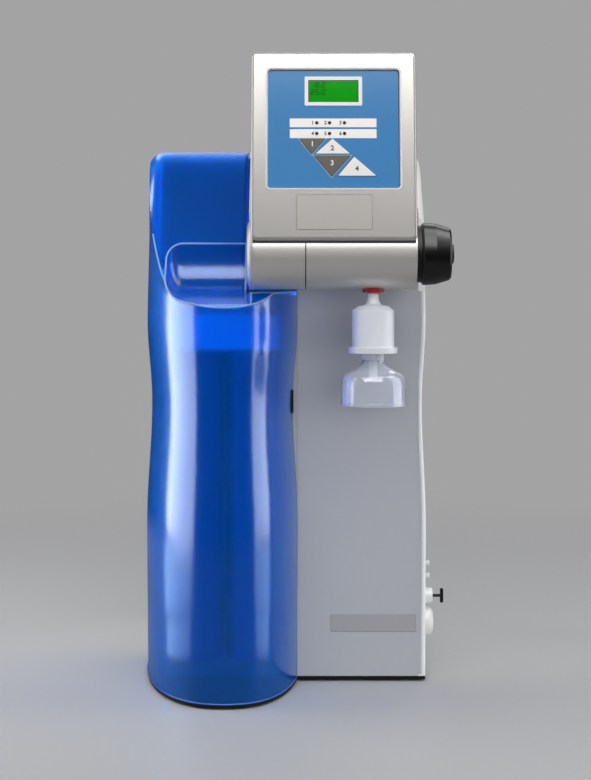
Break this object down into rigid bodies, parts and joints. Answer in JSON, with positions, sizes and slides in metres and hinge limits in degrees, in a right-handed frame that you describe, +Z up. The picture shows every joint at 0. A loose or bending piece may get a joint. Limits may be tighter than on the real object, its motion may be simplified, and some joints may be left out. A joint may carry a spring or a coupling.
{
  "type": "ultrapure water system",
  "caption": "Bench-top ultrapure water unit with a translucent blue front cover, a tilting keypad display, a dispense knob and a filter bell over a side bay.",
  "frame": {"origin": "on the bench under the middle of the cabinet's width and depth", "axes": "+Z up, front towards -Y, +X to the viewer's right when facing the front"},
  "size_m": [0.2697, 0.4, 0.545],
  "materials": {
    "cover_blue": "moulded translucent cobalt-blue polycarbonate, gloss",
    "shell_white": "moulded white ABS, satin gloss",
    "panel_grey": "moulded grey ABS, semi-gloss",
    "frame_silver": "silver-grey moulded ABS, satin",
    "black_plastic": "moulded black plastic, satin",
    "rubber_black": "moulded black rubber, matt",
    "keypad_blue": "printed mid-blue polyester overlay, satin",
    "key_grey": "warm grey key, satin",
    "key_white": "white key, satin",
    "lcd_white": "white bezel, satin",
    "lcd_green": "green-lit liquid crystal display",
    "lamp_dark": "dark unlit lamp lens",
    "board_green": "green circuit board",
    "ring_red": "red silicone ring",
    "clear_plastic": "clear moulded plastic",
    "capsule_white": "milky polypropylene",
    "membrane_white": "pleated filter membrane",
    "steel": "brushed stainless steel",
    "sheet_metal": "grey painted sheet steel",
    "natural_plastic": "natural polypropylene",
    "fitting_white": "white acetal fitting",
    "cartridge_white": "white polypropylene cartridge",
    "lamp_glass": "quartz lamp tube",
    "motor_grey": "dark painted motor can"
  },
  "bodies": {
    "cabinet": {"base_plate": "black_plastic", "rubber_feet": "rubber_black", "right_shell": "shell_white", "left_shell": "shell_white", "top_housing": "shell_white", "front_panel": "panel_grey", "rear_panel": "sheet_metal", "panel_screws": "steel", "tap_body": "fitting_white", "side_plugs": "fitting_white", "dispense_head": "frame_silver", "pivot_pin": "steel", "valve_body": "natural_plastic", "knob_collar": "black_plastic", "outlet_ring": "ring_red", "power_inlet": "black_plastic", "switch_frame": "black_plastic", "hose_ports": "fitting_white", "inner_frame": "sheet_metal", "cartridge_manifold": "fitting_white", "pretreatment_cartridge": "cartridge_white", "polishing_cartridge": "cartridge_white", "tank_body": "natural_plastic", "tank_lid": "fitting_white", "vent_filter": "fitting_white", "level_stem": "fitting_white", "pump_head": "black_plastic", "pump_motor": "motor_grey", "osmosis_vessel": "fitting_white", "lamp_housing": "steel", "uv_lamp": "lamp_glass", "ultrafilter": "cartridge_white", "feed_valve": "black_plastic", "power_supply": "sheet_metal", "control_board": "board_green", "water_lines": "natural_plastic"},
    "cover": {"blue_cover": "cover_blue"},
    "latch": {"cover_latch": "black_plastic"},
    "display": {"pivot_sleeve": "frame_silver", "display_back": "frame_silver", "display_frame": "frame_silver", "keypad_membrane": "keypad_blue", "lcd_frame": "lcd_white", "lcd_glass": "lcd_green", "status_lamps": "lamp_dark", "display_board": "board_green"},
    "down_upper": {"key_down_upper": "key_grey"},
    "up_upper": {"key_up_upper": "key_white"},
    "down_lower": {"key_down_lower": "key_grey"},
    "up_lower": {"key_up_lower": "key_white"},
    "knob": {"dispense_knob": "black_plastic", "knob_cap": "black_plastic", "knob_spindle": "steel"},
    "filter": {"filter_capsule": "capsule_white", "filter_pleats": "membrane_white", "filling_bell": "clear_plastic"},
    "tap": {"tap_handle": "black_plastic"},
    "switch": {"power_rocker": "black_plastic"},
    "tank_float": {"level_float": "natural_plastic"},
    "rotor": {"pump_rotor": "steel"}
  },
  "joints": [
    {"name": "cover_pull", "type": "slide", "parent": "cabinet", "child": "cover", "axis": [0, -1, 0], "range_m": [0, 0.12]},
    {"name": "latch_slide", "type": "slide", "parent": "cover", "child": "latch", "axis": [0, 0, -1], "range_m": [0, 0.005], "stiffness_N_per_m": 80},
    {"name": "display_tilt", "type": "hinge", "parent": "cabinet", "child": "display", "pos_m": [0, -0.16945, 0.3764], "axis": [-1, 0, 0], "range_deg": [-9.5, 20]},
    {"name": "knob_turn", "type": "hinge", "parent": "cabinet", "child": "knob", "pos_m": [0.11, -0.16945, 0.3764], "axis": [1, 0, 0], "range_deg": [0, 270]},
    {"name": "filter_pull", "type": "slide", "parent": "cabinet", "child": "filter", "axis": [0, 0, -1], "range_m": [0, 0.04]},
    {"name": "tap_turn", "type": "hinge", "parent": "cabinet", "child": "tap", "pos_m": [0.125, -0.025, 0.0652], "axis": [1, 0, 0], "range_deg": [0, 90]},
    {"name": "switch_rock", "type": "hinge", "parent": "cabinet", "child": "switch", "pos_m": [0.062, 0.173, 0.104], "axis": [-1, 0, 0], "range_deg": [0, 16]},
    {"name": "float_rise", "type": "slide", "parent": "cabinet", "child": "tank_float", "axis": [0, 0, 1], "range_m": [0, 0.27]},
    {"name": "rotor_spin", "type": "hinge", "parent": "cabinet", "child": "rotor", "pos_m": [-0.085, 0.08, 0.052], "axis": [0, 1, 0], "continuous": true},
    {"name": "press_down_upper", "type": "slide", "parent": "display", "child": "down_upper", "axis": [0, 0.9863, -0.165], "range_m": [0, 0.0004], "stiffness_N_per_m": 600},
    {"name": "press_up_upper", "type": "slide", "parent": "display", "child": "up_upper", "axis": [0, 0.9863, -0.165], "range_m": [0, 0.0004], "stiffness_N_per_m": 600},
    {"name": "press_down_lower", "type": "slide", "parent": "display", "child": "down_lower", "axis": [0, 0.9863, -0.165], "range_m": [0, 0.0004], "stiffness_N_per_m": 600},
    {"name": "press_up_lower", "type": "slide", "parent": "display", "child": "up_lower", "axis": [0, 0.9863, -0.165], "range_m": [0, 0.0004], "stiffness_N_per_m": 600}
  ]
}
